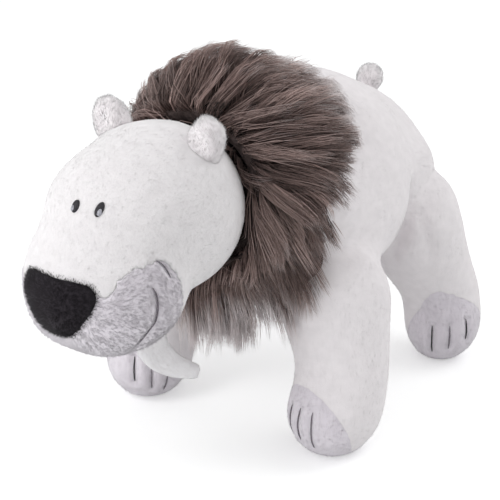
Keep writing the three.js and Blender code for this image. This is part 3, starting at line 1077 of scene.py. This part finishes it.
# Chin tuft: its upper end is raised, and more so at the back
TUFT_RISE = 0.006
tuft = remeshed("chin_tuft_skin", ["chin_tuft"], SMALL_VOXEL, 16)
tuft_root = np.array(JOINTS["chin_tuft_swing"]["pos_m"])
co = points_of(tuft.data)
upper = rise(co[:, 2] - tuft_root[2], -0.010, 0.012)
rear = rise(co[:, 1] - tuft_root[1], -0.002, 0.008)
co[:, 2] += (TUFT_RISE + TUFT_RISE * rear) * upper
move_points(tuft.data, co + HEAD_SHIFT)
wear(tuft, NAP_FINISH)
down = combed((0.2, 0.5, -0.8))
tuft_fur = pile("chin_tuft_pile", tuft, WHITE_PLUSH, HAIR["tuft"], down, 60, lean=1.6)
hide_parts("chin_tuft")
start, end = tuft_root + (0, 0, 0.004), tuft_root - (0, 0, 0.008)
bend((tuft, tuft_fur))

# Mane
MANE_VOXEL = 0.004
MANE_DEPTH = 0.012  # the undercoat lies this far inside the fur's outer form,
MANE_THIN = 0.03  # and this much farther towards its end,
MANE_TAPER = 0.050  # over this length
SINK_AHEAD = 0.020  # it dips under the skin this far ahead of where locks end,
SINK_LENGTH = 0.016  # over this length,
SINK_DEPTH = 0.004  # and this deep
HEAD_GAP = 0.0545  # from the middle of the skull to where the mane begins
RIM = 0.012  # hair rooted this near the head first grows forwards, over its edge
FRINGE_HEIGHT = 0.112  # below this height the hair hangs free
MANE_COUNT = 21500
MANE_PIECE = 7100  # no piece has more strands
MANE_STEPS = 6  # points along a strand
LOCK_SIZE = 17  # strands gathered in one lock
STRAND_LENGTH = (0.046, 0.066)
STRAND_RADIUS = 0.00027
LIE_LOW = 0.0015  # how high the lowest lock lies over what is under it,
LIE_MORE = 0.0115  # how much more the highest has,
WISP_MORE = 0.006  # and what stray wisps have beyond that,
WISP_SHARE = 0.04  # which are this share of all locks,
CROWN_MORE = 0.0045  # and what the crown has

# The undercoat is a core inside the mane, dark with painted shade
core = remeshed("mane_shaded_undercoat", ["mane"], MANE_VOXEL, 20)
flesh_tree = tree_of(skin_mesh, neck_mesh, NODES["head_cover"].data)
co = points_of(core.data)
nearest = [flesh_tree.find_nearest(Vector(point)) for point in co]
thickness = np.array([found[3] for found in nearest])
under = np.array([found[0] - found[1] * SINK_DEPTH for found in nearest])
thin = rise(mane_room(co), MANE_TAPER, -MANE_TAPER)
sunk = rise(SINK_AHEAD + mane_spread(co), mane_room(co), SINK_LENGTH)[:, None]
from_head = rise(np.linalg.norm(co - SKULL, axis=1) - HEAD_GAP, 0.001, 0.012)
depth = np.clip(thickness - 0.002, 0, (MANE_DEPTH + MANE_THIN * thin) * from_head)
co -= normals_of(core.data) * depth[:, None]
move_points(core.data, co + (under - co) * sunk)
move_points(core.data, averaged(core.data, points_of(core.data), 3))
wear(core, SHADED_UNDERCOAT)
leg_meshes = [parts[leg].data for leg in LEGS]
ground = tree_of(core.data, skin_mesh, neck_mesh, *leg_meshes)


def near_head(places):
    """One where the mane meets the head, falling to nothing behind its rim."""
    return rise(np.linalg.norm(places - SKULL, axis=1), HEAD_GAP + RIM, -RIM)


def mane_roots(rng):
    """Random places on the undercoat and the neck, closer together at the front and low down."""
    both = [scattered(mesh, 2.0, rng) for mesh in (core.data, neck_mesh)]
    places, normals = (np.concatenate(found) for found in zip(*both))
    out = places - np.array([0.0, 0.0, NECK_HEIGHT])
    out[:, 1] = 0
    outward = (normals * unit(out)).sum(1)
    lowest = np.where(places[:, 2] < FRINGE_HEIGHT + 0.010, -0.5, -0.05)
    margin = 0.010 + mane_spread(places) * rng.uniform(0.35, 0.95, len(places))
    free = (outward > lowest) & (mane_room(places) > margin)
    free &= np.linalg.norm(places - SKULL, axis=1) > HEAD_GAP - 0.0005
    free &= ~((normals[:, 1] > 0.3) & (outward < 0.4))
    places, normals = places[free], normals[free]
    weight = 1.0 + 0.6 * (places[:, 1] < MANE_LOW.y + 0.030) + 2.5 * (places[:, 2] < FRINGE_HEIGHT)
    weight += 1.6 * (np.linalg.norm(places - SKULL, axis=1) < HEAD_GAP + 0.005)
    chosen = rng.choice(len(places), min(MANE_COUNT, len(places)), replace=False, p=weight / weight.sum())
    return places[chosen], normals[chosen]


def trimmed(paths, lock, rng):
    """Ends each strand where the mane's edge is, a little unevenly from lock to lock."""
    steps = paths.shape[1]
    uneven = rng.beta(2.2, 1.0, lock.max() + 1)[lock] * mane_spread(paths[:, -1]) - 0.001
    uneven += rng.normal(scale=0.002, size=len(paths))
    room = mane_room(paths.reshape(-1, 3)).reshape(paths.shape[:2]) - uneven[:, None]
    past = room < 0
    first = np.where(past.any(1), past.argmax(1), steps - 1)
    before = np.clip(first - 1, 0, None)
    each = np.arange(len(paths))
    inside, outside = room[each, before], room[each, first]
    part = np.where(past.any(1), inside / np.maximum(inside - outside, 1e-6), 1.0)
    end = np.clip(before + part, 0.8, steps - 1)
    place = end[:, None] * np.linspace(0, 1, steps)[None, :]
    low = np.minimum(place.astype(int), steps - 2)
    share = (place - low)[:, :, None]
    return paths[each[:, None], low] * (1 - share) + paths[each[:, None], low + 1] * share


def lock_of_each(places, rng):
    """Numbers the locks, and gives for each strand its lock and the strand that leads it."""
    leaders = rng.choice(len(places), len(places) // LOCK_SIZE, replace=False)
    tree = KDTree(len(leaders))
    for k, leader in enumerate(leaders):
        tree.insert(Vector(places[leader]), k)
    tree.balance()
    lock = np.array([tree.find(Vector(place))[1] for place in places])
    return lock, leaders[lock]


def lie(at, height):
    """How high over the ground hair lies: flatter near its edge, at the back and on the far
    side, and a little higher on the crown."""
    x, y, z = at.T
    lying = 0.3 + 0.7 * rise(mane_room(at), 0, 0.045)
    lying *= 1 - 0.2 * rise(y, -0.020, 0.050) * rise(z, 0.175, 0.020)
    crown = rise(y, -0.055, 0.030) * rise(z, 0.205, 0.020) * (1 - rise(y, 0.020, 0.030))
    outer = rise(x, -0.010, -0.030) * rise(z, 0.180, 0.020)
    return height * lying * (1 - 0.55 * outer) + CROWN_MORE * crown


def grow_mane(places, normals, lock, rng):
    """Lets hair run out and back from behind the head, and fall at the sides."""
    count, locks = len(places), lock.max() + 1
    lift = (0.15 + 0.85 * rng.random(locks))[lock] * rng.uniform(0.85, 1.0, count)
    wisp = (rng.random(locks) < WISP_SHARE)[lock]
    height = LIE_LOW + LIE_MORE * lift + WISP_MORE * wisp
    length = rng.uniform(*STRAND_LENGTH, locks)[lock] * rng.uniform(0.82, 1.1, count)
    swirl = rng.normal(scale=0.13, size=(locks, 3))[lock] + rng.normal(scale=0.04, size=(count, 3))
    swirl = swirl + 0.16 * waves(places, 0.035, 11)
    step = (length / (MANE_STEPS - 1))[:, None]
    fall = np.tile(np.array([0.0, 0.0, -1.0]), (count, 1))
    at, facing, heading = places.copy(), normals.copy(), None
    forward = np.array([0.0, -1.0, 0.0]) * near_head(places)[:, None]
    path = [places - normals * 0.001]
    for k in range(MANE_STEPS - 1):
        away = unit(tangent(unit(at - SKULL) + (0, 0.45, 0), facing))
        hang = rise(at[:, 2:3], FRINGE_HEIGHT, -0.030)
        drop = 0.45 + 1.35 * rise(at[:, 2:3], 0.195, -0.045)
        wanted = unit(away + drop * tangent(fall, facing) + swirl) + facing * (0.5 if k == 0 else 0.1)
        wanted += forward * (0.6, 0.2, 0, 0, 0)[k]
        wanted = unit(wanted) * (1 - hang) + hang * (fall + 0.5 * swirl)
        heading = unit(wanted) if heading is None else unit(0.55 * heading + 0.45 * unit(wanted))
        at = at + heading * step
        from_skull = np.linalg.norm(at - SKULL, axis=1, keepdims=True)
        at += (at - SKULL) / from_skull * np.maximum(HEAD_GAP - 0.0005 - from_skull, 0)
        target = lie(at, height)
        target *= rise(k + 1, 0, 0.5 * MANE_STEPS)
        free = (at[:, 2] < FRINGE_HEIGHT - 0.012) & (facing[:, 2] < 0.2)
        for i in range(count):
            found, normal, _, _ = ground.find_nearest(Vector(at[i]))
            normal = np.array(normal)
            gap = (at[i] - np.array(found)) @ normal
            if gap < target[i]:
                at[i] += normal * (target[i] - gap)
            elif gap > target[i] + 0.003 and not free[i]:
                at[i] -= normal * (gap - target[i] - 0.003) * 0.8
            facing[i] = normal
        path.append(at.copy())
    return np.stack(path, axis=1)


def gathered(paths, leader, rng):
    """Draws each strand towards the one that leads its lock, more so near the tip."""
    count = len(paths)
    share = np.linspace(0, 1, paths.shape[1])[None, :, None]
    guide = paths[leader]
    apart = (paths[:, :1] - guide[:, :1]) * (1 - 0.8 * share)
    close = rise(np.linalg.norm(paths[:, 0] - guide[:, 0], axis=1), 0.014, -0.005)
    pull = share**0.8 * (rng.uniform(0.55, 1.0, count) * close)[:, None, None]
    paths = paths * (1 - pull) + (guide + apart) * pull
    return paths + rng.normal(scale=0.0012, size=(count, 1, 3)) * share**1.5


rng = np.random.default_rng(7)
places, normals = mane_roots(rng)
lock, leader = lock_of_each(places, rng)
paths = gathered(trimmed(grow_mane(places, normals, lock, rng), lock, rng), leader, rng)
shade = rng.beta(0.6, 1.2, lock.max() + 1)[lock] * 0.6 + 0.7 * rng.beta(0.5, 1.4, len(lock))
# Hair rooted near the head starts past the darkest part of the ramps, with less painted shade at its root
start = 0.26 * near_head(paths[:, 0])
# Tips are palest on the back and along the fringe
tips = paths[:, -1]
on_back = rise(tips[:, 1], -0.005, 0.030) * rise(tips[:, 2], 0.150, 0.030)
on_fringe = rise(tips[:, 2], 0.100, -0.020)
reach = 0.66 + 0.32 * np.maximum(on_back, on_fringe) + rng.normal(scale=0.05, size=len(tips))
shade, reach = np.clip(shade, 0, 1), np.clip(reach, 0.5, 1.0)
taper = np.linspace(0, 1, MANE_STEPS)[:-1]
radii = STRAND_RADIUS * (1 - taper[None, :] ** 1.6 * 0.8) * rng.uniform(0.6, 1.3, len(paths))[:, None]
order = np.argsort(paths[:, 0, 1], kind="stable")
groups = np.array_split(order, math.ceil(len(order) / MANE_PIECE))
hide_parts("mane")
attach((core,), "torso")
for k, group in enumerate(groups):
    ends = {"start": start[group], "reach": reach[group]}
    fur = strands(f"mane_fur_{k + 1}", paths[group], radii[group], shade[group], MANE_FUR, **ends)
    attach((fur,), "torso")


# Stage
def white_for_camera(tree, surface, level):
    """Adds light that only the camera, reflections and clear things see."""
    path = add_node(tree, "LightPath", {})
    seen = path["Is Camera Ray"]
    for name in ("Is Glossy Ray", "Is Transmission Ray"):
        seen = add_node(tree, "Math", {0: seen, 1: path[name]}, operation="MAXIMUM")["Value"]
    strength = add_node(tree, "Math", {0: seen, 1: level}, operation="MULTIPLY")["Value"]
    glow = add_node(tree, "Emission", {"Strength": strength})["Emission"]
    return add_node(tree, "AddShader", {0: surface, 1: glow})["Shader"]


def whitened(thing, kind, inputs, level, output):
    """Gives the floor or the air one shader, with light added for the camera."""
    thing.use_nodes = True
    tree = thing.node_tree
    tree.nodes.clear()
    surface = add_node(tree, kind, inputs)[0]
    add_node(tree, output, {"Surface": white_for_camera(tree, surface, level)})
    return thing


def add_floor():
    size = FLOOR_SIZE
    co = np.array([(-size, -size, 0), (size, -size, 0), (size, size, 0), (-size, size, 0)])
    floor = linked("floor", mesh_from("floor", co, [(0, 1, 2), (0, 2, 3)]))
    colour = {"Color": (*FLOOR_COLOUR, 1)}
    paper = bpy.data.materials.new("floor")
    wear(floor, whitened(paper, "BsdfDiffuse", colour, FLOOR_ADDED, "OutputMaterial"))


def add_world():
    air = {"Color": (1, 1, 1, 1), "Strength": AIR_LIGHT}
    world = bpy.data.worlds.new("studio")
    bpy.context.scene.world = whitened(world, "Background", air, AIR_ADDED, "OutputWorld")


def pointed(name, data, place, way):
    """Puts a lamp or the camera into the scene, looking a given way."""
    obj = linked(name, data)
    obj.location = place
    obj.rotation_euler = way.to_track_quat("-Z", "Y").to_euler()
    return obj


def add_lamp(name, place, target, size, power):
    data = bpy.data.lights.new(name, "AREA")
    data.shape = "DISK"
    data.size = size
    data.energy = power
    pointed(name, data, place, Vector(target) - Vector(place))


def add_camera():
    a, e = math.radians(CAMERA_AZIMUTH), math.radians(CAMERA_ELEVATION)
    back = Vector((math.sin(a) * math.cos(e), -math.cos(a) * math.cos(e), math.sin(e)))
    data = bpy.data.cameras.new("camera")
    data.lens = CAMERA_LENS
    data.clip_end = 20
    place = Vector(CAMERA_TARGET) + back * CAMERA_DISTANCE
    bpy.context.scene.camera = pointed("camera", data, place, -back)


add_floor()
add_world()
for name, lamp in LAMPS.items():
    add_lamp(name, *lamp)
add_camera()
bpy.context.scene.view_settings.view_transform = "Standard"
